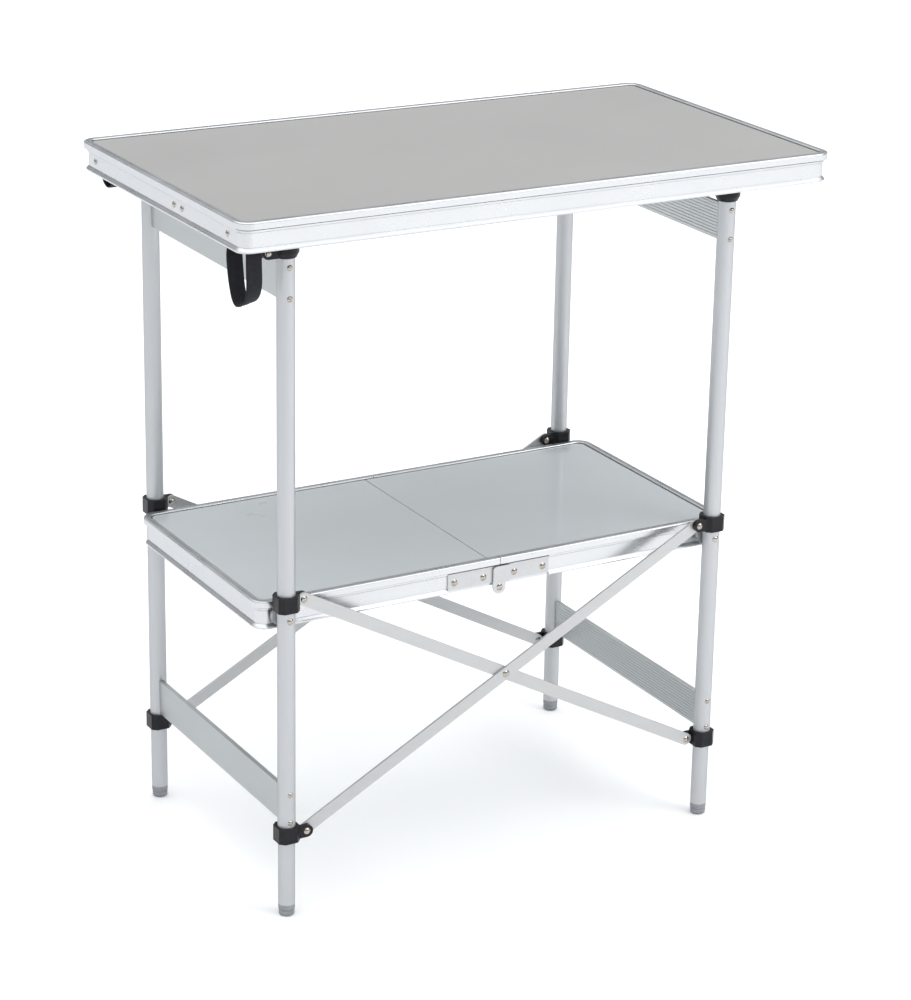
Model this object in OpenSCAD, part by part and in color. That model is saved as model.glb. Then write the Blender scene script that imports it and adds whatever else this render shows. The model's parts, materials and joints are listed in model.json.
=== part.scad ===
// Folding camp kitchen table: a rimmed tabletop on two tube end frames, crossed braces front and
// back that let the frames come together, and a shelf in two halves that folds upwards.
// Origin: on the floor under the middle of the tabletop. +X to the right, +Y to the back, +Z up.

/* [Tabletop] */
// Length of the tabletop over its edge profile
top_l = 822; // [792:5:862]
// Depth of the tabletop over its edge profile
top_d = 462; // [450:2:490]
// Height of the tabletop above the floor
top_h = 900; // [890:2:930]
// Height of the tabletop's edge profile
top_rim_h = 37; // [36:1:38]
// Outer radius of the tabletop's corners
top_corner_r = 19; // [17:1:20]
// Thickness of the tabletop and shelf panels
panel_t = 5; // [4:0.5:5]

/* [End frames] */
// Half the distance between the left and right leg axes
leg_x = 307; // [302:1:312]
// Half the distance between the front and back leg axes
leg_y = 191; // [191:1:196]
// Where the middle between the legs lies along the tabletop
leg_mid_x = -27; // [-30:1:0]
// Outer diameter of the leg tube
tube_d = 22.2; // [21.6:0.1:22.4]
// Outer diameter of the drawn-down lower end of the leg
tube_low_d = 21.1; // [20.6:0.1:21.4]
// Wall of the leg tube
tube_wall = 1.2; // [1:0.1:1.4]
// Height of the crossbar profile
crossbar_h = 47; // [46:1:48]
// Thickness of the crossbar profile
crossbar_t = 6; // [6:0.5:8]

/* [Braces] */
// Height of the lower brace pivots
low_pivot_z = 111; // [109:1:113]
// Height of the middle brace pivots when the table stands open
mid_pivot_z = 415.5; // [414:0.5:418]
// Distance from a leg axis to its brace pivots
lug_reach = 24; // [24:0.5:26]
// Width of a brace bar
bar_w = 16; // [14:1:16]
// Thickness of a brace bar
bar_t = 3; // [2.5:0.5:3]
// Width of a pivot block over its flats
block_w = 28.6; // [27:0.2:28.6]
// Height of a pivot block
block_h = 20; // [18:1:22]

/* [Shelf] */
// Length of the open shelf over its edge profile
shelf_l = 676; // [668:2:684]
// Depth of the shelf over its edge profile
shelf_d = 348; // [342:1:352]
// Height of the shelf above the floor
shelf_h = 413; // [412:1:414]
// Height of the shelf's edge profile
shelf_rim_h = 37; // [36:1:38]
// Outer radius of the shelf's corners
shelf_corner_r = 20; // [18:1:24]

/* [Webbing loops] */
// Width of the webbing
strap_w = 20; // [18:1:20]
// Thickness of the webbing
strap_t = 1.8; // [1.4:0.1:2]
// Height of the bottom of the front loop
strap_front_z = 792; // [785:1:830]
// Height of the bottom of the back loop
strap_back_z = 848; // [840:1:856]

/* [Hidden] */
$fn = 64;
LEFT = -1;
RIGHT = 1;
FRONT = -1;
BACK = 1;
SIDES = [FRONT, BACK];
gap = 0.3;
fit = 0.05;

tube_r = tube_d / 2;
low_r = tube_low_d / 2;
bore_r = tube_r - tube_wall;
foot_h = 15;
step_z = low_pivot_z - 8;
leg_top = top_h - 56.5;

// edge profile: outer lips, grooved web between them, ledge that carries the panel
lip_w = 9.8;
lip_h = 8.6;
lip_r = 2;
lip_out = 5.5;
web_t = 1.6;
ridge_z = 12.8;
ridge_w = 1.5;
ridge_h = 2.2;
groove_w = 1.1;
groove_depth = 0.5;
ledge_w = 16;
panel_drop = 2;
panel_edge = lip_w + 1.6;
low_lip_h = 5.8;
low_lip_w = 3.2;
top_under = top_h - panel_drop - panel_t;
top_web_x = top_l / 2 - lip_out;
top_web_y = top_d / 2 - lip_out;
shelf_web_y = shelf_d / 2 - lip_out;

// rivets
rivet_r = 3.6;
rivet_shank_r = 1.9;
rivet_head_h = 2.2;
rivet_pitch = 37.4;
crossbar_up_z = leg_top - 29.2;
crossbar_low_z = low_pivot_z + 36;

// brace: bar B runs from lower left to middle right in front of bar A
pivot_x = leg_x - lug_reach;
brace_z = (low_pivot_z + mid_pivot_z) / 2;
bar_len = norm([2 * pivot_x, mid_pivot_z - low_pivot_z]);
bar_angle = atan2(mid_pivot_z - low_pivot_z, 2 * pivot_x);
pin_r = 2.5;
pin_head_r = 4.4;
lug_r = 8;
lug_t = 5.7;
block_bevel = 6;

// shelf carriers
shelf_pin_z = shelf_h - 18.5;
shelf_pin_r = 3;
saddle_r = 13.2;
saddle_boss_r = 5.2;
hinge_z = shelf_h - 39.6;
split = 0.4;
panel_split = 0.8;
panel_split_x = -13.5;
hinge_tab_r = 9;
hinge_plate_end = 73;
hinge_plate_t = 2;
hinge_plate_h = 21.5;
hinge_plate_z = shelf_h - 33;
hinge_rivet_z = shelf_h - 23.5;
hinge_rivet_xs = [22.5, 64];
hinge_notch = 13.2;

// tabletop carriers
cap_r = 16;
ear_reach = 25.4;
ear_r = 7.5;
top_pin_x = leg_mid_x - leg_x - ear_reach;
top_pin_z = top_h - 47.7;
hook_t = 6;
ear_t = 8;
strap_x = 23 - top_l / 2;
strap_y = 194.2;
strap_back_y = 176;
strap_top_z = top_under - 5;

// ---- shared shapes ----

// rounded rectangle made of squares and circles
module rounded_plate(l, d, r) {
    square([l - 2 * r, d], center = true);
    square([l, d - 2 * r], center = true);
    for (sx = [-1, 1], sy = [-1, 1])
        translate([sx * (l / 2 - r), sy * (d / 2 - r)]) circle(r);
}

// section of the edge profile: x is 0 at the outer lips and negative inwards, y is up
module rim_section(h) {
    difference() {
        union() {
            translate([-lip_r, h - lip_r]) circle(lip_r);
            translate([-lip_r, h - lip_h]) square([lip_r, lip_h - lip_r]);
            translate([1.5 - lip_w, h - 1.5]) circle(1.5);
            translate([1.5 - lip_w, h - lip_r]) square([lip_w - 1.5 - lip_r, lip_r]);
            translate([-lip_w, h - panel_drop - panel_t])
                square([lip_w - lip_out, panel_drop + panel_t - 1.5]);
        }
        translate([-lip_w / 2 - 0.4, h - groove_depth]) square([0.8, 1]);
    }
    difference() {
        translate([-lip_out - web_t, 0]) square([web_t, h - lip_r]);
        for (y = [h - ridge_z - groove_w, low_lip_h])
            translate([-lip_out - groove_depth, y]) square([1, groove_w]);
    }
    translate([-lip_out - 0.5, h - ridge_z]) square([ridge_w + 0.5, ridge_h]);
    translate([-ledge_w, h - panel_drop - panel_t - web_t])
        square([ledge_w - lip_out - web_t / 2, web_t]);
    translate([-lip_out - web_t, 0]) polygon([[0, 0], [web_t + low_lip_w - 0.8, 0],
        [web_t + low_lip_w, 0.8], [web_t + low_lip_w, 2.4], [web_t + low_lip_w - 0.6, 3.2],
        [web_t, low_lip_h], [0, low_lip_h]]);
}

// closed frame of edge profile, l by d over the lips, standing on z = 0
module rim_ring(l, d, h, r) {
    for (side = [0:3]) {
        run = (side % 2 == 0 ? l : d) - 2 * r;
        rotate(90 * side) translate([-run / 2, (side % 2 == 0 ? d : l) / 2, 0])
            rotate([90, 0, 90]) linear_extrude(run) rim_section(h);
    }
    for (i = [0:3]) {
        corner = [[1, 1], [-1, 1], [-1, -1], [1, -1]][i];
        translate([corner.x * (l / 2 - r), corner.y * (d / 2 - r), 0]) rotate(90 * i)
            rotate_extrude(angle = 90) translate([r, 0]) rim_section(h);
    }
}

// rod along +Y from the origin
module rod_y(r, len) {
    rotate([-90, 0, 0]) cylinder(r = r, h = len);
}

// domed rivet head that stands out towards -Y from the origin
module dome(r, h) {
    ball_r = (r * r + h * h) / (2 * h);
    rotate([90, 0, 0]) intersection() {
        translate([0, 0, h - ball_r]) sphere(ball_r);
        cylinder(r = r, h = h);
    }
}

// rivet along Y: dome at the front, shank from there to +len, small tail head if tail > 0
module rivet_y(head_r, head_h, shank_r, len, tail) {
    dome(head_r, head_h);
    rod_y(shank_r, len);
    if (tail > 0) translate([0, len, 0]) mirror([0, 1, 0]) dome(head_r * 0.8, tail);
}

// mirrors its children to the back for BACK, leaves them for FRONT
module on_side(sy) {
    mirror([0, sy == BACK ? 1 : 0, 0]) children();
}

// ---- tabletop ----

module top_panel() {
    color([0.71, 0.71, 0.70]) translate([0, 0, top_under]) linear_extrude(panel_t)
        rounded_plate(top_l - 2 * panel_edge, top_d - 2 * panel_edge, top_corner_r - panel_edge);
}

rim_rivet_ys = [-187, -63.5, -41, 193];
rim_rivet_z = top_h - 21.5;

module top_rim() {
    color([0.86, 0.87, 0.88]) difference() {
        translate([0, 0, top_h - top_rim_h]) rim_ring(top_l, top_d, top_rim_h, top_corner_r);
        for (y = rim_rivet_ys)
            translate([-top_web_x - 1, y, rim_rivet_z]) rotate(-90) rod_y(rivet_shank_r + fit, 4);
    }
}

module rim_rivets() {
    color([0.72, 0.73, 0.74]) for (y = rim_rivet_ys)
        translate([-top_web_x, y, rim_rivet_z]) rotate(-90)
            rivet_y(4, rivet_head_h, rivet_shank_r, web_t + 2, 0.8);
}

stiffener_w = 36;
stiffener_h = 20;
stiffener_y = (rim_rivet_ys[1] + rim_rivet_ys[2]) / 2;

// box stiffener under the panel, from the left web to the right web, closed at its left end
module top_stiffener() {
    start = -top_web_x + web_t;
    len = 2 * (top_web_x - web_t);
    inner = [len, stiffener_w - 3, stiffener_h - 3];
    color([0.80, 0.81, 0.82]) difference() {
        translate([start, stiffener_y - stiffener_w / 2, top_under - panel_t / 2 - stiffener_h])
            cube([len, stiffener_w, stiffener_h]);
        translate([start + 2, stiffener_y - inner.y / 2, top_under - panel_t / 2 - stiffener_h + 1.5])
            cube(inner);
        for (y = [rim_rivet_ys[1], rim_rivet_ys[2]])
            translate([start - 1, y, rim_rivet_z]) rotate(-90) rod_y(rivet_shank_r + fit, 4);
    }
}

// angle plates behind the end rivets, with a flat tongue over each loop
module strap_brackets() {
    start = -top_web_x + web_t;
    for (y = [[rim_rivet_ys[0], -strap_y], [rim_rivet_ys[3], strap_back_y]])
        color([0.70, 0.71, 0.72]) difference() {
            union() {
                translate([start, y[0] - 6, strap_top_z - 17]) cube([2, 12, 19]);
                translate([start, y[0] - 6, strap_top_z]) cube([12, 12, 2]);
                translate([strap_x - 10, y[1] - 26.5, strap_top_z]) cube([27.9, 53, 2]);
            }
            translate([start - 1, y[0], rim_rivet_z]) rotate(-90) rod_y(rivet_shank_r + fit, 4);
        }
}

// U of webbing, half_gap from its middle plane to the middle of a strand
module webbing_loop(y, bottom_z, half_gap) {
    bend_z = bottom_z + half_gap + strap_t / 2;
    color([0.09, 0.09, 0.10]) translate([strap_x - strap_w / 2, y, 0]) {
        for (s = [-1, 1])
            translate([0, s * half_gap - strap_t / 2, bend_z])
                cube([strap_w, strap_t, strap_top_z - bend_z]);
        translate([0, 0, bend_z]) rotate([90, 0, 90]) rotate([0, 0, 180])
            linear_extrude(strap_w) intersection() {
                difference() {
                    circle(half_gap + strap_t / 2);
                    circle(half_gap - strap_t / 2);
                }
                translate([-half_gap - strap_t, 0]) square(2 * (half_gap + strap_t));
            }
    }
}

module strap_front() { webbing_loop(-strap_y, strap_front_z, 25.5); }
module strap_back() { webbing_loop(strap_back_y, strap_back_z, 18); }

// hook under the panel that drops over the pin of a left leg cap
module top_hook(sy) {
    color([0.13, 0.13, 0.14]) on_side(sy) difference() {
        translate([top_pin_x - 10, -leg_y + gap, top_pin_z - 7])
            cube([18.4, hook_t, top_under - top_pin_z + 7]);
        translate([top_pin_x, -leg_y - 1, top_pin_z]) rod_y(pin_r + gap, hook_t + 3);
        translate([top_pin_x - pin_r - gap, -leg_y - 1, top_pin_z - 10])
            cube([2 * (pin_r + gap), hook_t + 3, 10]);
    }
}

module top_hook_front() { top_hook(FRONT); }
module top_hook_back() { top_hook(BACK); }

// ---- end frames ----

// places children at the leg on side sx, sy
module at_leg(sx, sy) {
    translate([leg_mid_x + sx * leg_x, sy * leg_y, 0]) children();
}

function crossbar_rivet_zs() = [for (z = [crossbar_low_z, crossbar_up_z], s = [-0.5, 0.5])
    z + s * rivet_pitch];

module leg(sx, sy) {
    color([0.85, 0.86, 0.87]) at_leg(sx, sy) difference() {
        union() {
            translate([0, 0, foot_h]) cylinder(r = low_r, h = step_z - foot_h);
            translate([0, 0, step_z]) cylinder(r = tube_r, h = leg_top - step_z);
        }
        translate([0, 0, foot_h - 1]) cylinder(r = low_r - tube_wall, h = step_z);
        translate([0, 0, step_z + tube_wall]) cylinder(r = bore_r, h = leg_top);
        for (z = crossbar_rivet_zs())
            translate([0, -tube_d, z]) rod_y(rivet_shank_r + fit, 2 * tube_d);
        translate([0, -tube_d, shelf_pin_z]) rod_y(shelf_pin_r + fit, 2 * tube_d);
    }
}

module leg_fl() { leg(LEFT, FRONT); }
module leg_bl() { leg(LEFT, BACK); }
module leg_fr() { leg(RIGHT, FRONT); }
module leg_br() { leg(RIGHT, BACK); }

// grooved plug in the lower end of a leg
module foot(sx, sy) {
    plug_r = low_r - tube_wall - fit;
    color([0.42, 0.43, 0.45]) at_leg(sx, sy) rotate_extrude() polygon([[0, 0], [8.6, 0],
        [9.8, 1.2], [10, 6.5], [9.3, 7], [9.3, 8.2], [10.4, 8.8], [10.4, foot_h],
        [plug_r, foot_h], [plug_r, foot_h + 20], [0, foot_h + 20]]);
}

module foot_fl() { foot(LEFT, FRONT); }
module foot_bl() { foot(LEFT, BACK); }
module foot_fr() { foot(RIGHT, FRONT); }
module foot_br() { foot(RIGHT, BACK); }

// bowl-shaped cap on top of a leg; the left caps have an ear for the tabletop's pin
module cap(sx, sy) {
    cap_top = top_under - gap;
    plug_r = bore_r - fit;
    color([0.13, 0.13, 0.14]) at_leg(sx, sy) difference() {
        union() {
            rotate_extrude() polygon([[0, leg_top - 20], [plug_r, leg_top - 20],
                [plug_r, leg_top], [tube_r, leg_top], [tube_r + 2, leg_top + 1],
                [cap_r, leg_top + 7], [cap_r, cap_top], [0, cap_top]]);
            if (sx == LEFT) on_side(sy) {
                translate([-ear_reach, -ear_t, top_pin_z]) rod_y(ear_r, ear_t);
                translate([-ear_reach, -ear_t, top_pin_z - ear_r]) cube([14, ear_t, 2 * ear_r]);
            }
        }
        translate([0, -tube_d, crossbar_up_z + rivet_pitch / 2])
            rod_y(rivet_shank_r + fit, 2 * tube_d);
        translate([-ear_reach, -tube_d, top_pin_z]) rod_y(pin_r + fit, 2 * tube_d);
    }
}

module cap_fl() { cap(LEFT, FRONT); }
module cap_bl() { cap(LEFT, BACK); }
module cap_fr() { cap(RIGHT, FRONT); }
module cap_br() { cap(RIGHT, BACK); }

// pins in the ears of the left caps, with their heads outwards
module top_pins() {
    color([0.75, 0.75, 0.74]) for (sy = SIDES)
        on_side(sy) translate([top_pin_x, -leg_y - ear_t, top_pin_z])
            rivet_y(pin_head_r, rivet_head_h, pin_r, ear_t + hook_t, 0);
}

rib_count = 11;
rib_pitch = 4;

// section of a crossbar: box with two screw channels, ribbed towards the middle of the table
module crossbar_section() {
    difference() {
        square([crossbar_t, crossbar_h], center = true);
        difference() {
            square([crossbar_t - 2.4, crossbar_h - 2.4], center = true);
            for (s = [-1, 1]) translate([0, s * rivet_pitch / 2]) circle(crossbar_t / 2);
        }
        for (s = [-1, 1]) translate([0, s * rivet_pitch / 2]) circle(rivet_shank_r + fit);
    }
    for (i = [0:rib_count - 1])
        translate([crossbar_t / 2 + 0.3, (i - (rib_count - 1) / 2) * rib_pitch])
            square([0.8, 1.8], center = true);
}

module crossbar(sx, z) {
    color([0.80, 0.82, 0.83]) difference() {
        translate([leg_mid_x + sx * leg_x, 0, z]) mirror([sx == RIGHT ? 1 : 0, 0, 0])
            rotate([90, 0, 0]) linear_extrude(2 * (leg_y - tube_r + 1.2), center = true)
                crossbar_section();
        for (sy = SIDES) at_leg(sx, sy) cylinder(r = tube_r + fit, h = top_h);
    }
}

module crossbar_upper_left() { crossbar(LEFT, crossbar_up_z); }
module crossbar_lower_left() { crossbar(LEFT, crossbar_low_z); }
module crossbar_upper_right() { crossbar(RIGHT, crossbar_up_z); }
module crossbar_lower_right() { crossbar(RIGHT, crossbar_low_z); }

// rivets through the legs into the crossbars' screw channels
module frame_rivets(sx) {
    color([0.75, 0.75, 0.74]) for (sy = SIDES, z = crossbar_rivet_zs())
        on_side(sy) translate([leg_mid_x + sx * leg_x, -leg_y - tube_r, z])
            rivet_y(rivet_r, rivet_head_h, rivet_shank_r, tube_d + 15, 0);
}

module frame_rivets_left() { frame_rivets(LEFT); }
module frame_rivets_right() { frame_rivets(RIGHT); }

// ---- pivot blocks and braces ----

// front and back face of the lug: A-lugs lie behind the bars, B-lugs in front of them
function lug_y(is_a) = is_a ? bar_t + 1.5 * gap : -bar_t - 1.5 * gap - lug_t;

// block around a leg with a lug towards the middle of the table
module pivot_block(sx, sy, z, is_a, hole_r) {
    half = block_w / 2;
    low = half - block_bevel;
    color([0.12, 0.12, 0.13]) at_leg(sx, sy) difference() {
        union() {
            translate([0, 0, z - block_h / 2]) linear_extrude(block_h)
                polygon([[low, -half], [half, -low], [half, low], [low, half],
                    [-low, half], [-half, low], [-half, -low], [-low, -half]]);
            translate([-sx * lug_reach, lug_y(is_a), z]) rod_y(lug_r, lug_t);
            translate([sx == LEFT ? 5 : -lug_reach, lug_y(is_a), z - lug_r])
                cube([lug_reach - 5, lug_t, 2 * lug_r]);
        }
        cylinder(r = hole_r, h = top_h);
        translate([-sx * lug_reach, -tube_d, z]) rod_y(pin_r + fit, 2 * tube_d);
    }
}

module lower_clamp(sx, sy) { pivot_block(sx, sy, low_pivot_z, sx == RIGHT, tube_r + fit); }
module mid_clamp(sx, sy) { pivot_block(sx, sy, mid_pivot_z, sx == LEFT, tube_r + gap); }

module lower_clamp_fl() { lower_clamp(LEFT, FRONT); }
module lower_clamp_bl() { lower_clamp(LEFT, BACK); }
module lower_clamp_fr() { lower_clamp(RIGHT, FRONT); }
module lower_clamp_br() { lower_clamp(RIGHT, BACK); }
module mid_clamp_fl() { mid_clamp(LEFT, FRONT); }
module mid_clamp_bl() { mid_clamp(LEFT, BACK); }
module mid_clamp_fr() { mid_clamp(RIGHT, FRONT); }
module mid_clamp_br() { mid_clamp(RIGHT, BACK); }

// pins through lug and bar, head on the front face and a small head on the back face
module brace_pins(sx, z, is_a) {
    stack = lug_t + bar_t + gap;
    start = is_a ? gap / 2 : lug_y(false);
    color([0.75, 0.75, 0.74]) for (sy = SIDES) at_leg(sx, sy)
        translate([-sx * lug_reach, start, z]) rivet_y(pin_head_r, rivet_head_h, pin_r, stack, 1.2);
}

module lower_pins_left() { brace_pins(LEFT, low_pivot_z, false); }
module lower_pins_right() { brace_pins(RIGHT, low_pivot_z, true); }
module mid_pins_left() { brace_pins(LEFT, mid_pivot_z, true); }
module mid_pins_right() { brace_pins(RIGHT, mid_pivot_z, false); }

// flat bar with round ends and three holes, tilted by angle about the crossing point
module brace_bar(sy, angle, y) {
    color([0.84, 0.84, 0.85]) translate([leg_mid_x, sy * leg_y + y, brace_z]) rotate([0, -angle, 0])
        difference() {
            union() {
                translate([-bar_len / 2, 0, -bar_w / 2]) cube([bar_len, bar_t, bar_w]);
                for (s = [-1, 1]) translate([s * bar_len / 2, 0, 0]) rod_y(bar_w / 2, bar_t);
            }
            for (s = [-1, 0, 1])
                translate([s * bar_len / 2, -1, 0]) rod_y(pin_r + fit, bar_t + 2);
        }
}

module brace_a_front() { brace_bar(FRONT, -bar_angle, gap / 2); }
module brace_a_back() { brace_bar(BACK, -bar_angle, gap / 2); }
module brace_b_front() { brace_bar(FRONT, bar_angle, -bar_t - gap / 2); }
module brace_b_back() { brace_bar(BACK, bar_angle, -bar_t - gap / 2); }

module brace_centre_rivets() {
    color([0.75, 0.75, 0.74]) for (sy = SIDES)
        translate([leg_mid_x, sy * leg_y - bar_t - gap / 2, brace_z])
            rivet_y(5, 2.4, pin_r, 2 * bar_t + 2 * gap, 1.2);
}

// ---- shelf ----

// keeps the half of its children on side sx of a split at x
module shelf_half(sx, x, half_gap) {
    intersection() {
        children();
        translate([leg_mid_x + x + sx * (half_gap + shelf_l / 2), 0, shelf_h])
            cube([shelf_l, 2 * shelf_d, 200], center = true);
    }
}

// the right panel reaches over the left ledge and so stops the shelf from folding downwards
module shelf_panel(sx) {
    color([0.70, 0.73, 0.74]) shelf_half(sx, panel_split_x, panel_split)
        translate([leg_mid_x, 0, shelf_h - panel_drop - panel_t]) linear_extrude(panel_t)
            rounded_plate(shelf_l - 2 * panel_edge, shelf_d - 2 * panel_edge,
                shelf_corner_r - panel_edge);
}

// edge profile of one half; ridge and low lip are cut away for the hinge plates
module shelf_rim(sx) {
    cut_x = hinge_plate_end + 0.4;
    color([0.84, 0.85, 0.86]) difference() {
        shelf_half(sx, 0, split) translate([leg_mid_x, 0, shelf_h - shelf_rim_h])
            rim_ring(shelf_l, shelf_d, shelf_rim_h, shelf_corner_r);
        for (sy = SIDES) on_side(sy) {
            translate([leg_mid_x - cut_x, -shelf_web_y - 10, shelf_h - lip_h - 40])
                cube([2 * cut_x, 10, 40]);
            translate([leg_mid_x - hinge_notch, -shelf_web_y - 10 + gap, shelf_h - lip_h - 40])
                cube([2 * hinge_notch, 10, 40]);
        }
        if (sx == LEFT)
            translate([leg_mid_x - leg_x, -shelf_d, shelf_pin_z])
                rod_y(shelf_pin_r + fit, 2 * shelf_d);
        for (sy = SIDES, x = hinge_rivet_xs) on_side(sy)
            translate([leg_mid_x + sx * x, -shelf_d, hinge_rivet_z])
                rod_y(rivet_shank_r + fit, shelf_d);
    }
}

module shelf_panel_left() { shelf_panel(LEFT); }
module shelf_panel_right() { shelf_panel(RIGHT); }
module shelf_rim_left() { shelf_rim(LEFT); }
module shelf_rim_right() { shelf_rim(RIGHT); }

// plates on the webs, front and back; the left tab lies behind, the right tab is stepped outwards
module hinge_plates_left() {
    color([0.80, 0.80, 0.82]) for (sy = SIDES)
        on_side(sy) translate([leg_mid_x, -shelf_web_y - hinge_plate_t, 0]) difference() {
            union() {
                translate([-hinge_plate_end, 0, hinge_plate_z])
                    cube([hinge_plate_end - split, hinge_plate_t, hinge_plate_h]);
                translate([-8, 0, hinge_z]) cube([8 - split, hinge_plate_t, 12]);
                translate([0, 0, hinge_z]) rod_y(8, hinge_plate_t);
            }
            translate([0, -1, hinge_z]) rod_y(shelf_pin_r + fit, 10);
            for (x = hinge_rivet_xs)
                translate([-x, -1, hinge_rivet_z]) rod_y(rivet_shank_r + fit, 10);
        }
}

module hinge_plates_right() {
    tab_y = -2 * hinge_plate_t - 0.6;
    tab_top = hinge_plate_z + hinge_plate_h;
    color([0.80, 0.80, 0.82]) for (sy = SIDES)
        on_side(sy) translate([leg_mid_x, -shelf_web_y, 0]) difference() {
            union() {
                translate([hinge_notch, -hinge_plate_t, hinge_plate_z])
                    cube([hinge_plate_end - hinge_notch, hinge_plate_t, hinge_plate_h]);
                translate([hinge_notch - 2, tab_y, hinge_plate_z])
                    cube([4, -tab_y, hinge_plate_h]);
                translate([-hinge_tab_r, tab_y, hinge_z])
                    cube([2 * hinge_tab_r, hinge_plate_t, tab_top - hinge_z - 5]);
                translate([-hinge_tab_r + 5, tab_y, hinge_z])
                    cube([hinge_tab_r + hinge_notch - 5, hinge_plate_t, tab_top - hinge_z]);
                translate([-hinge_tab_r + 5, tab_y, tab_top - 5]) rod_y(5, hinge_plate_t);
                translate([0, tab_y, hinge_z]) rod_y(hinge_tab_r, hinge_plate_t);
            }
            translate([hinge_tab_r, tab_y - 1, hinge_z - 1])
                cube([10, hinge_plate_t + 8, hinge_plate_z - hinge_z + 1]);
            translate([0, tab_y - 1, hinge_z]) rod_y(shelf_pin_r + fit, 10);
            for (x = hinge_rivet_xs)
                translate([x, -5, hinge_rivet_z]) rod_y(rivet_shank_r + fit, 10);
        }
}

module hinge_rivets(sx) {
    color([0.75, 0.75, 0.74]) for (sy = SIDES, x = hinge_rivet_xs)
        on_side(sy) translate([leg_mid_x + sx * x, -shelf_web_y - hinge_plate_t, hinge_rivet_z])
            rivet_y(4.6, 2, rivet_shank_r, hinge_plate_t + web_t, 0.8);
}

module hinge_rivets_left() { hinge_rivets(LEFT); }
module hinge_rivets_right() { hinge_rivets(RIGHT); }

module hinge_pins() {
    color([0.75, 0.75, 0.74]) for (sy = SIDES)
        on_side(sy) translate([leg_mid_x, -shelf_web_y - 2 * hinge_plate_t - 0.6, hinge_z])
            rivet_y(4.6, 1.5, shelf_pin_r, 2 * hinge_plate_t + 0.6, 0);
}

// spacer between a leg and the shelf, cut flat under the sliding block
module shelf_saddle(sx, with_boss) {
    saddle_out = leg_y - tube_r - 0.1;
    saddle_in = shelf_d / 2 + gap;
    flat_z = mid_pivot_z - block_h / 2 - gap;
    color([0.82, 0.83, 0.84]) for (sy = SIDES)
        on_side(sy) translate([leg_mid_x + sx * leg_x, 0, shelf_pin_z]) difference() {
            union() {
                translate([0, -saddle_out, 0]) rod_y(saddle_r, saddle_out - saddle_in);
                if (with_boss)
                    translate([0, -saddle_out, 0]) rod_y(saddle_boss_r, saddle_out - shelf_web_y - gap);
            }
            translate([0, -saddle_out - 1, 0]) rod_y(shelf_pin_r + fit, 20);
            translate([-2 * saddle_r, -leg_y, flat_z - shelf_pin_z])
                cube([4 * saddle_r, 40, 40]);
        }
}

module shelf_saddles_left() { shelf_saddle(LEFT, true); }
module shelf_saddles_right() { shelf_saddle(RIGHT, false); }

// rivets that carry the shelf; the right ones end at the saddle
module shelf_pivots(sx) {
    inner_y = sx == LEFT ? shelf_web_y - web_t - gap : shelf_d / 2 + gap;
    color([0.75, 0.75, 0.74]) for (sy = SIDES)
        on_side(sy) translate([leg_mid_x + sx * leg_x, -leg_y - tube_r, shelf_pin_z])
            rivet_y(pin_head_r, rivet_head_h, shelf_pin_r, leg_y + tube_r - inner_y,
                sx == LEFT ? 1.5 : 0);
}

module shelf_pivots_left() { shelf_pivots(LEFT); }
module shelf_pivots_right() { shelf_pivots(RIGHT); }

top_panel();
top_rim();
rim_rivets();
top_stiffener();
strap_brackets();
strap_front();
strap_back();
top_hook_front();
top_hook_back();
leg_fl();
leg_bl();
foot_fl();
foot_bl();
cap_fl();
cap_bl();
crossbar_upper_left();
crossbar_lower_left();
frame_rivets_left();
lower_clamp_fl();
lower_clamp_bl();
lower_pins_left();
shelf_saddles_left();
shelf_pivots_left();
top_pins();
leg_fr();
leg_br();
foot_fr();
foot_br();
cap_fr();
cap_br();
crossbar_upper_right();
crossbar_lower_right();
frame_rivets_right();
lower_clamp_fr();
lower_clamp_br();
lower_pins_right();
shelf_saddles_right();
shelf_pivots_right();
mid_clamp_fl();
mid_clamp_bl();
mid_pins_left();
mid_clamp_fr();
mid_clamp_br();
mid_pins_right();
brace_a_front();
brace_a_back();
brace_b_front();
brace_b_back();
brace_centre_rivets();
shelf_panel_left();
shelf_rim_left();
hinge_plates_left();
hinge_rivets_left();
hinge_pins();
shelf_panel_right();
shelf_rim_right();
hinge_plates_right();
hinge_rivets_right();
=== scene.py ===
"""Looks of the camp kitchen table: materials, webbing loops, studio and camera."""
import json
import math

import bpy
import bmesh
from mathutils import Matrix, Vector


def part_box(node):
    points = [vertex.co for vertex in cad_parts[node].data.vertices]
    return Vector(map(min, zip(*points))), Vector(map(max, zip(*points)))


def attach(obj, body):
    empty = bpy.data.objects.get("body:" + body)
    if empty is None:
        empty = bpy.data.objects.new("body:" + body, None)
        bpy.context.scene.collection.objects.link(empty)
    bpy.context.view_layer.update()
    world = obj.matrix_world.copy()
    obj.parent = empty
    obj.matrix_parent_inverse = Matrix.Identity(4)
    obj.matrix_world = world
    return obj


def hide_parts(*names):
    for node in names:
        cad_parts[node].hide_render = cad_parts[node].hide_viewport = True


# Studio: strengths of the world overhead and around, and half the width of the floor in metres
CEILING = 1.98
WALLS = 0.42
FLOOR_HALF = 40.0
FLOOR_DROP = 0.0005

# Key light, beside the table: where it is and aims, its size in metres and its power in watts
KEY_PLACE = (1.9, -2.6, 2.3)
KEY_TARGET = (1.3, -1.9, 0.0)
KEY_SIZE = (1.6, 1.6)
KEY_POWER = 34
KEY_COLOR = (1.0, 0.99, 0.98)

# Camera: yaw, pitch and roll in degrees, place in metres, lens and sensor in millimetres
CAMERA_ANGLES = (30.988, 19.31, 1.446)
CAMERA_PLACE = (-1.8041, -3.1577, 1.7570)
CAMERA_LENS = 107.07
CAMERA_SENSOR = 36
CAMERA_SHIFT = (-0.0576, -0.0378)
CAMERA_CLIP = 60

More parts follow.
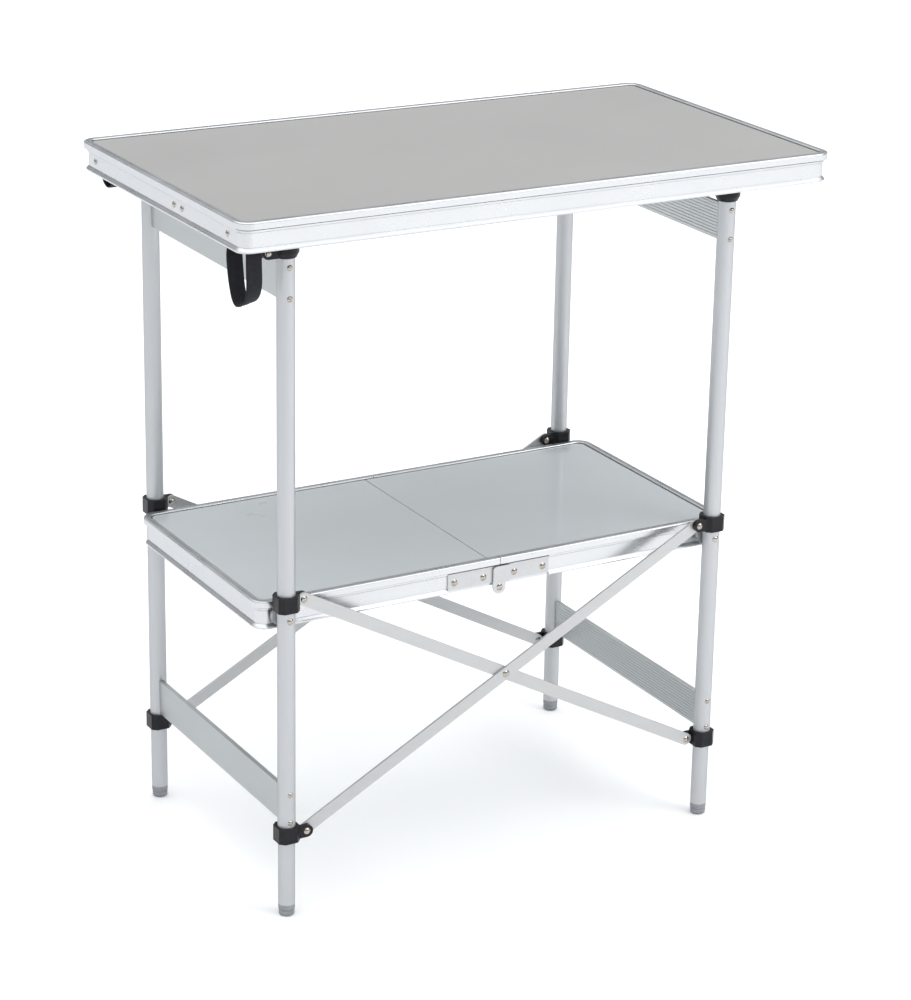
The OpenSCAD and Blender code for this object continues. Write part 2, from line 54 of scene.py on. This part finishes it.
# Webbing: thickness of the strip, how far its middle stays inside the CAD box and the height of
# its lengthwise ribs, in metres, then the ribs across the strip and where its edge gets thinner
WEBBING_T = 0.0017
WEBBING_INSET = 0.001
RIB_HEIGHT = 0.00016
RIB_WAVES = 5
EDGE_FROM = 0.8
EDGE_THINNING = 0.55

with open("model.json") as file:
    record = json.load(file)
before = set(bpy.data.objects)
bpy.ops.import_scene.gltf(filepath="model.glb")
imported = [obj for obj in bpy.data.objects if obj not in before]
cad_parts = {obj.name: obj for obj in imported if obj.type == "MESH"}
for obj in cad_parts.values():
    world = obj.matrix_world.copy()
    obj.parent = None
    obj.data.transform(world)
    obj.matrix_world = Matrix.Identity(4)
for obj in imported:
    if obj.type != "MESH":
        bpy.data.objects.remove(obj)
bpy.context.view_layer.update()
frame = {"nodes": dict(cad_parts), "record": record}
nodes = frame["nodes"]


# ---------------------------------------------------------------- node helpers

class Mat:
    """One node material with a Principled shader and short ways to add texture nodes."""

    def __init__(self, name, color, rough, metallic=0.0, specular=0.5, coat=0.0, coat_rough=0.1):
        self.mat = bpy.data.materials.new(name)
        self.mat.use_nodes = True
        self.mat.diffuse_color = (*color, 1)
        self.tree = self.mat.node_tree
        self.bsdf = self.tree.nodes["Principled BSDF"]
        self.color = color
        self.bsdf.inputs["Base Color"].default_value = (*color, 1)
        self.bsdf.inputs["Roughness"].default_value = rough
        self.bsdf.inputs["Metallic"].default_value = metallic
        self.bsdf.inputs["Specular IOR Level"].default_value = specular
        self.bsdf.inputs["Coat Weight"].default_value = coat
        self.bsdf.inputs["Coat Roughness"].default_value = coat_rough
        self.coord = self.tree.nodes.new("ShaderNodeTexCoord")

    def node(self, kind, **values):
        n = self.tree.nodes.new(kind)
        for key, value in values.items():
            setattr(n, key, value)
        return n

    def link(self, a, b):
        self.tree.links.new(a, b)

    def space(self, scale):
        """Object coordinates in metres, stretched by scale."""
        m = self.node("ShaderNodeMapping")
        m.inputs["Scale"].default_value = scale
        self.link(self.coord.outputs["Object"], m.inputs["Vector"])
        return m.outputs["Vector"]

    def noise(self, vec, scale, detail=3.0, rough=0.55):
        n = self.node("ShaderNodeTexNoise")
        n.inputs["Scale"].default_value = scale
        n.inputs["Detail"].default_value = detail
        n.inputs["Roughness"].default_value = rough
        self.link(vec, n.inputs["Vector"])
        return n.outputs["Fac"]

    def to_range(self, fac, low, high, from_low=0.3, from_high=0.7):
        n = self.node("ShaderNodeMapRange")
        n.inputs["From Min"].default_value = from_low
        n.inputs["From Max"].default_value = from_high
        n.inputs["To Min"].default_value = low
        n.inputs["To Max"].default_value = high
        self.link(fac, n.inputs["Value"])
        return n.outputs["Result"]

    def math(self, op, a, b):
        n = self.node("ShaderNodeMath", operation=op)
        for i, v in enumerate((a, b)):
            if isinstance(v, (int, float)):
                n.inputs[i].default_value = v
            else:
                self.link(v, n.inputs[i])
        return n.outputs["Value"]

    def mix(self, fac, a, b):
        """Colour a at fac 0, colour b at fac 1. a and b are colours or sockets."""
        n = self.node("ShaderNodeMix", data_type="RGBA")
        self.link(fac, n.inputs[0])
        for socket, v in ((n.inputs[6], a), (n.inputs[7], b)):
            if isinstance(v, tuple):
                socket.default_value = (*v, 1)
            else:
                self.link(v, socket)
        return n.outputs[2]

    def set_color(self, socket):
        self.link(socket, self.bsdf.inputs["Base Color"])

    def set_rough(self, socket):
        self.link(socket, self.bsdf.inputs["Roughness"])

    def set_bump(self, height, strength, distance):
        n = self.node("ShaderNodeBump")
        n.inputs["Strength"].default_value = strength
        n.inputs["Distance"].default_value = distance
        self.link(height, n.inputs["Height"])
        self.link(n.outputs["Normal"], self.bsdf.inputs["Normal"])


def shade(color, k):
    return tuple(min(1.0, c * k) for c in color)


def satin_metal(name, color, rough, along, metallic=0.85, streak=1.0, scuff=0.5,
                edge=(0.42, 0.43, 0.45)):
    """Anodised aluminium drawn along one axis: fine streaks, cloudy roughness and a few scuffs."""
    m = Mat(name, color, rough, metallic=metallic, specular=0.5)
    m.bsdf.inputs["Specular Tint"].default_value = (*edge, 1)
    scale = [1500.0, 1500.0, 1500.0]
    scale["xyz".index(along)] = 14.0
    fine = m.noise(m.space(scale), 1.0, 2.0, 0.6)
    cloud = m.noise(m.space((1, 1, 1)), 16.0, 4.0, 0.6)
    scuffs = m.noise(m.space((90, 90, 260)), 1.0, 5.0, 0.7)
    mark = m.to_range(scuffs, 0.0, scuff, 0.62, 0.74)
    tone = m.mix(m.to_range(cloud, 0.0, 1.0, 0.35, 0.65), shade(color, 0.965), shade(color, 1.02))
    tone = m.mix(m.to_range(fine, 0.0, 0.30 * streak), tone, shade(color, 0.86))
    m.set_color(m.mix(mark, tone, shade(color, 0.90)))
    r = m.math("ADD", m.to_range(cloud, rough - 0.05, rough + 0.05, 0.35, 0.65),
               m.math("MULTIPLY", m.math("SUBTRACT", fine, 0.5), 0.22 * streak))
    m.set_rough(m.math("ADD", r, m.math("MULTIPLY", mark, 0.12)))
    m.set_bump(fine, 0.10 * streak, 0.00012)
    return m.mat


def moulded_black(name):
    """Moulded black plastic: fine grain, a faint sheen and dusty wear."""
    color = (0.0065, 0.0065, 0.0085)
    m = Mat(name, color, 0.34, specular=0.22)
    grain = m.noise(m.space((1, 1, 1)), 2600.0, 2.0, 0.6)
    cloud = m.noise(m.space((1, 1, 1)), 60.0, 4.0, 0.65)
    wear = m.noise(m.space((1, 1, 0.4)), 240.0, 5.0, 0.7)
    tone = m.mix(m.to_range(cloud, 0.0, 1.0), color, (0.015, 0.015, 0.018))
    m.set_color(m.mix(m.to_range(wear, 0.0, 0.5, 0.64, 0.80), tone, (0.045, 0.045, 0.050)))
    m.set_rough(m.to_range(cloud, 0.26, 0.42))
    m.set_bump(grain, 0.16, 0.00008)
    return m.mat


def rubber_grey(name):
    """Matt grey foot plug, darker in blotches towards the floor."""
    color = (0.28, 0.29, 0.31)
    m = Mat(name, color, 0.62, specular=0.4)
    grain = m.noise(m.space((1, 1, 1)), 1800.0, 3.0, 0.6)
    cloud = m.noise(m.space((1, 1, 1)), 140.0, 4.0, 0.6)
    sep = m.node("ShaderNodeSeparateXYZ")
    m.link(m.coord.outputs["Object"], sep.inputs[0])
    low = m.to_range(sep.outputs["Z"], 0.55, 0.0, 0.0005, 0.006)
    tone = m.mix(m.to_range(cloud, 0.0, 1.0), shade(color, 0.85), shade(color, 1.2))
    m.set_color(m.mix(m.math("MULTIPLY", low, cloud), tone, (0.10, 0.10, 0.10)))
    m.set_rough(m.to_range(cloud, 0.50, 0.72))
    m.set_bump(grain, 0.25, 0.00012)
    return m.mat


def laminate_matte(name):
    """Warm grey tabletop laminate: fine eggshell grain, faint mottling, hairline use marks."""
    color = (0.338, 0.335, 0.325)
    m = Mat(name, color, 0.50, specular=0.35)
    eggshell = m.noise(m.space((1, 1, 1)), 1500.0, 3.0, 0.55)
    speck = m.noise(m.space((1, 1, 1)), 700.0, 2.0, 0.5)
    cloud = m.noise(m.space((1, 1.4, 1)), 5.0, 4.0, 0.6)
    marks = m.noise(m.space((14, 420, 1)), 1.0, 4.0, 0.7)
    cross = m.noise(m.space((380, 11, 1)), 1.0, 4.0, 0.7)
    tone = m.mix(m.to_range(cloud, 0.0, 1.0), shade(color, 0.975), shade(color, 1.025))
    tone = m.mix(m.to_range(speck, 0.0, 0.35, 0.35, 0.70), tone, shade(color, 0.90))
    hair = m.math("MAXIMUM", m.to_range(marks, 0.0, 1.0, 0.70, 0.80),
                  m.to_range(cross, 0.0, 1.0, 0.72, 0.82))
    m.set_color(m.mix(m.math("MULTIPLY", hair, 0.35), tone, shade(color, 1.12)))
    m.set_rough(m.math("SUBTRACT", m.to_range(cloud, 0.46, 0.56), m.math("MULTIPLY", hair, 0.08)))
    m.set_bump(eggshell, 0.12, 0.00010)
    return m.mat


def laminate_gloss(name):
    """Cool grey shelf laminate with a clear coat: slight ripple and fine specks."""
    color = (0.545, 0.585, 0.600)
    m = Mat(name, color, 0.30, specular=0.5, coat=0.85, coat_rough=0.06)
    ripple = m.noise(m.space((1, 1, 1)), 22.0, 3.0, 0.5)
    peel = m.noise(m.space((1, 1, 1)), 260.0, 2.0, 0.5)
    cloud = m.noise(m.space((1, 1.3, 1)), 6.0, 4.0, 0.6)
    tone = m.mix(m.to_range(cloud, 0.0, 1.0), shade(color, 0.975), shade(color, 1.02))
    speck = m.noise(m.space((1, 1, 1)), 900.0, 2.0, 0.5)
    m.set_color(m.mix(m.to_range(speck, 0.0, 0.4, 0.35, 0.70), tone, shade(color, 0.95)))
    m.set_rough(m.to_range(cloud, 0.27, 0.33))
    m.set_bump(m.math("ADD", ripple, m.math("MULTIPLY", peel, 0.10)), 0.025, 0.0005)
    return m.mat


def nickel(name):
    """Bright rivet heads with tiny dents and a slightly warm tone."""
    color = (0.47, 0.44, 0.40)
    m = Mat(name, color, 0.15, metallic=1.0)
    dent = m.noise(m.space((1, 1, 1)), 420.0, 3.0, 0.6)
    tarnish = m.noise(m.space((1, 1, 1)), 210.0, 4.0, 0.65)
    m.set_color(m.mix(m.to_range(tarnish, 0.0, 0.75, 0.45, 0.72), color, (0.30, 0.24, 0.19)))
    m.set_rough(m.to_range(tarnish, 0.10, 0.26, 0.38, 0.68))
    m.set_bump(dent, 0.20, 0.00025)
    return m.mat


def plated(name):
    """Pressed plate, zinc plated: faint spangle and rolling lines."""
    color = (0.56, 0.56, 0.57)
    m = Mat(name, color, 0.40, metallic=0.8)
    roll = m.noise(m.space((18, 1200, 1200)), 1.0, 2.0, 0.6)
    spangle = m.noise(m.space((1, 1, 1)), 130.0, 5.0, 0.7)
    tone = m.mix(m.to_range(spangle, 0.0, 1.0, 0.35, 0.65), shade(color, 0.93), shade(color, 1.04))
    m.set_color(m.mix(m.to_range(roll, 0.0, 0.3), tone, shade(color, 0.85)))
    m.set_rough(m.to_range(spangle, 0.32, 0.48, 0.35, 0.65))
    m.set_bump(roll, 0.10, 0.00012)
    return m.mat


def webbing(name):
    """Woven black webbing: cross ribs and lengthwise cords, painted lighter where they stand up as
    a painted sheen, and a dusty bloom.
    """
    color = (0.007, 0.007, 0.010)
    m = Mat(name, color, 0.8, specular=0.2)
    m.bsdf.inputs["Sheen Weight"].default_value = 0.10
    m.bsdf.inputs["Sheen Roughness"].default_value = 0.5
    waves = []
    for direction, pitch in (("Z", 0.0011), ("X", 0.0014)):
        w = m.node("ShaderNodeTexWave", wave_type="BANDS", bands_direction=direction)
        w.inputs["Scale"].default_value = 2 * math.pi / (20 * pitch)
        w.inputs["Distortion"].default_value = 0.4
        m.link(m.coord.outputs["Object"], w.inputs["Vector"])
        waves.append(w.outputs["Fac"])
    weave_and_sheen = m.math("MULTIPLY", waves[0], waves[1])
    bloom = m.noise(m.space((1, 1, 1)), 160.0, 4.0, 0.65)
    # Painted sheen: the raised ribs of the weave are painted lighter, as if light catches them.
    tone = m.mix(weave_and_sheen, color, (0.030, 0.030, 0.036))
    m.set_color(m.mix(m.to_range(bloom, 0.0, 0.30, 0.45, 0.75), tone, (0.045, 0.045, 0.052)))
    m.set_rough(m.to_range(bloom, 0.72, 0.92))
    m.set_bump(weave_and_sheen, 0.5, 0.00025)
    return m.mat


MATS = {
    "leg_tube": satin_metal("satin_tube", (0.535, 0.55, 0.565), 0.46, "z",
                            metallic=0.7, streak=0.5, scuff=0.25),
    "edge_profile": satin_metal("satin_edge_x", (0.62, 0.63, 0.645), 0.30, "x",
                                metallic=0.9, streak=0.2, scuff=0.06, edge=(0.80, 0.81, 0.83)),
    "extrusion": satin_metal("satin_extrusion", (0.55, 0.57, 0.575), 0.42, "y",
                             streak=0.5, scuff=0.2),
    "brace_bar": satin_metal("satin_bar", (0.53, 0.535, 0.54), 0.42, "x",
                             metallic=0.65, streak=0.6, scuff=0.3),
    "cast_saddle": satin_metal("satin_saddle", (0.50, 0.51, 0.52), 0.42, "z", scuff=0.3),
    "black_plastic": moulded_black("moulded_black"),
    "grey_plastic": rubber_grey("foot_grey"),
    "top_laminate": laminate_matte("laminate_matte"),
    "shelf_laminate": laminate_gloss("laminate_gloss"),
    "rivet_steel": nickel("nickel_rivet"),
    "plate_steel": plated("plated_plate"),
    "webbing": webbing("black_webbing"),
}


def bevel(obj, width, segments=2, angle=35.0):
    b = obj.modifiers.new("soft_edges", "BEVEL")
    b.width = width
    b.segments = segments
    b.limit_method = "ANGLE"
    b.angle_limit = math.radians(angle)
    b.harden_normals = True


for part in frame["record"]["subparts"]:
    obj = nodes[part["node"]]
    obj.data.materials.clear()
    obj.data.materials.append(MATS[part["material_slot"]])

for name, obj in nodes.items():
    if "clamp" in name or name.startswith("cap_") or name.startswith("top_hook"):
        bevel(obj, 0.0009, 3)
    elif name.startswith("brace_a") or name.startswith("brace_b"):
        bevel(obj, 0.0004, 2)
    elif name.startswith("hinge_plates") or name.startswith("shelf_saddles"):
        bevel(obj, 0.0003, 2)


# ---------------------------------------------------------------- webbing loops

def ribbon(name, stations, thickness):
    """Closed strip: each station is (middle, half-width vector, normal)."""
    across = [i / 6 - 1 for i in range(13)]
    mesh = bpy.data.meshes.new(name)
    bm = bmesh.new()
    rows = []
    for middle, half, normal in stations:
        row = []
        for side in (1, -1):
            for t in (across if side > 0 else reversed(across)):
                edge = 1 - EDGE_THINNING * max(0.0, abs(t) - EDGE_FROM) / (1 - EDGE_FROM)
                rib = RIB_HEIGHT * math.cos(t * RIB_WAVES * math.pi)
                offset = side * (thickness / 2 * edge + rib)
                row.append(bm.verts.new(middle + half * t + normal * offset))
        rows.append(row)
    count = len(rows[0])
    for a, b in zip(rows, rows[1:]):
        for i in range(count):
            j = (i + 1) % count
            bm.faces.new((a[i], a[j], b[j], b[i]))
    bm.faces.new(list(reversed(rows[0])))
    bm.faces.new(rows[-1])
    bmesh.ops.recalc_face_normals(bm, faces=bm.faces)
    bm.to_mesh(mesh)
    bm.free()
    for face in mesh.polygons:
        face.use_smooth = True
    obj = bpy.data.objects.new(name, mesh)
    bpy.context.scene.collection.objects.link(obj)
    obj.data.materials.append(MATS["webbing"])
    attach(obj, "tabletop")
    return obj


def smooth_path(points, steps):
    """Catmull-Rom curve through points, steps per span."""
    out = []
    last = len(points) - 1
    for i in range(last):
        p = [points[max(0, min(last, i + k))] for k in (-1, 0, 1, 2)]
        for s in range(steps):
            t = s / steps
            out.append([0.5 * (2 * b + (c - a) * t + (2 * a - 5 * b + 4 * c - d) * t * t
                        + (3 * b - a - 3 * c + d) * t ** 3) for a, b, c, d in zip(*p)])
    out.append(list(points[-1]))
    return out


def loop(name, points):
    """points: x and y and z of the middle, half width, twist in degrees about the path."""
    path = smooth_path(points, 8)
    stations = []
    for i, (x, y, z, half, twist) in enumerate(path):
        a = path[max(0, i - 1)]
        b = path[min(len(path) - 1, i + 1)]
        tangent = Vector((b[0] - a[0], b[1] - a[1], b[2] - a[2])).normalized()
        side = Vector((1, 0, 0))
        side = (side - tangent * side.dot(tangent)).normalized()
        side = Matrix.Rotation(math.radians(twist), 3, tangent) @ side
        stations.append((Vector((x, y, z)), side * half, tangent.cross(side).normalized()))
    return ribbon(name, stations, WEBBING_T)


lo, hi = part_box("strap_front")
mx = (lo.x + hi.x) / 2
y0, y1, zt, zb = lo.y + WEBBING_INSET, hi.y - WEBBING_INSET, hi.z, lo.z
front = loop("webbing_front", [
    (mx, y1, zt, 0.0099, 0),
    (mx, y1, zt - 0.030, 0.0099, 0),
    (mx - 0.0004, y1, zb + 0.055, 0.0099, 5),
    (mx + 0.0004, y1 - 0.001, zb + 0.035, 0.0096, 12),
    (mx + 0.0010, y1 - 0.004, zb + 0.018, 0.0092, 16),
    (mx + 0.0004, y1 - 0.011, zb + 0.0065, 0.0092, 14),
    (mx - 0.0002, y1 - 0.021, zb + 0.0018, 0.0094, 10),
    (mx + 0.0002, y0 + 0.020, zb + 0.0045, 0.0096, 12),
    (mx + 0.0006, y0 + 0.010, zb + 0.0105, 0.0098, 10),
    (mx + 0.0006, y0 + 0.003, zb + 0.022, 0.0098, 2),
    (mx + 0.0004, y0 + 0.0005, zb + 0.036, 0.0098, -4),
    (mx, y0 + 0.0005, zb + 0.056, 0.0098, -4),
    (mx, y0 + 0.0005, zt - 0.018, 0.0099, 0),
    (mx, y0 + 0.0005, zt, 0.0099, 0),
])
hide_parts("strap_front")

lo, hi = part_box("strap_back")
mx = (lo.x + hi.x) / 2
y0, y1, zt, zb = lo.y + WEBBING_INSET, hi.y - WEBBING_INSET, hi.z, lo.z
back = loop("webbing_back", [
    (mx, y1, zt, 0.0099, 0),
    (mx, y1, zb + 0.022, 0.0099, 0),
    (mx, y1 - 0.004, zb + 0.008, 0.0098, 3),
    (mx, (y0 + y1) / 2, zb + 0.001, 0.0097, 0),
    (mx, y0 + 0.004, zb + 0.008, 0.0098, -3),
    (mx, y0, zb + 0.022, 0.0099, 0),
    (mx, y0, zt, 0.0099, 0),
])
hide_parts("strap_back")


# ---------------------------------------------------------------- studio

def add_floor():
    mesh = bpy.data.meshes.new("floor")
    s = FLOOR_HALF
    mesh.from_pydata([(-s, -s, 0), (s, -s, 0), (s, s, 0), (-s, s, 0)], [], [(0, 1, 2, 3)])
    obj = bpy.data.objects.new("floor", mesh)
    bpy.context.scene.collection.objects.link(obj)
    m = Mat("studio_floor", (0.96, 0.96, 0.96), 0.8, specular=0.1)
    fine = m.noise(m.space((1, 1, 1)), 60.0, 3.0, 0.5)
    m.set_rough(m.to_range(fine, 0.75, 0.85))
    obj.data.materials.append(m.mat)
    obj.location.z = -FLOOR_DROP


def add_area(name, place, target, size, energy, color):
    light = bpy.data.lights.new(name, "AREA")
    light.shape = "RECTANGLE"
    light.size, light.size_y = size
    light.energy = energy
    light.color = color
    obj = bpy.data.objects.new(name, light)
    bpy.context.scene.collection.objects.link(obj)
    obj.location = place
    aim = Vector(target) - Vector(place)
    obj.rotation_euler = aim.to_track_quat("-Z", "Y").to_euler()
    return obj


def add_world():
    """Bright ceiling that fades into dim walls, by height above the horizon."""
    world = bpy.data.worlds.new("studio")
    bpy.context.scene.world = world
    world.use_nodes = True
    tree = world.node_tree
    back = tree.nodes["Background"]
    coord = tree.nodes.new("ShaderNodeTexCoord")
    axes = tree.nodes.new("ShaderNodeSeparateXYZ")
    tree.links.new(coord.outputs["Generated"], axes.inputs[0])
    ceiling = tree.nodes.new("ShaderNodeMapRange")
    ceiling.interpolation_type = "SMOOTHSTEP"
    for key, value in (("From Min", 0.42), ("From Max", 0.80), ("To Min", 0.0), ("To Max", 1.0)):
        ceiling.inputs[key].default_value = value
    tree.links.new(axes.outputs["Z"], ceiling.inputs["Value"])
    level = tree.nodes.new("ShaderNodeMix")
    tree.links.new(ceiling.outputs["Result"], level.inputs[0])
    level.inputs[2].default_value = WALLS
    level.inputs[3].default_value = CEILING
    tree.links.new(level.outputs[0], back.inputs["Strength"])
    back.inputs["Color"].default_value = (0.97, 0.985, 1.0, 1)


add_floor()
add_world()
add_area("key", KEY_PLACE, KEY_TARGET, KEY_SIZE, KEY_POWER, KEY_COLOR)

bpy.context.scene.view_settings.view_transform = "Standard"


# ---------------------------------------------------------------- camera

def add_camera():
    yaw, pitch, roll = (math.radians(a) for a in CAMERA_ANGLES)
    d = Vector((math.sin(yaw) * math.cos(pitch), math.cos(yaw) * math.cos(pitch), -math.sin(pitch)))
    r0 = d.cross(Vector((0, 0, 1))).normalized()
    u0 = r0.cross(d)
    right = math.cos(roll) * r0 + math.sin(roll) * u0
    up = -math.sin(roll) * r0 + math.cos(roll) * u0
    cam = bpy.data.cameras.new("camera")
    cam.sensor_width = CAMERA_SENSOR
    cam.lens = CAMERA_LENS
    cam.shift_x, cam.shift_y = CAMERA_SHIFT
    cam.clip_end = CAMERA_CLIP
    obj = bpy.data.objects.new("camera", cam)
    bpy.context.scene.collection.objects.link(obj)
    obj.matrix_world = Matrix.Translation(CAMERA_PLACE) @ Matrix(
        (right, up, -d)).transposed().to_4x4()
    bpy.context.scene.camera = obj


add_camera()
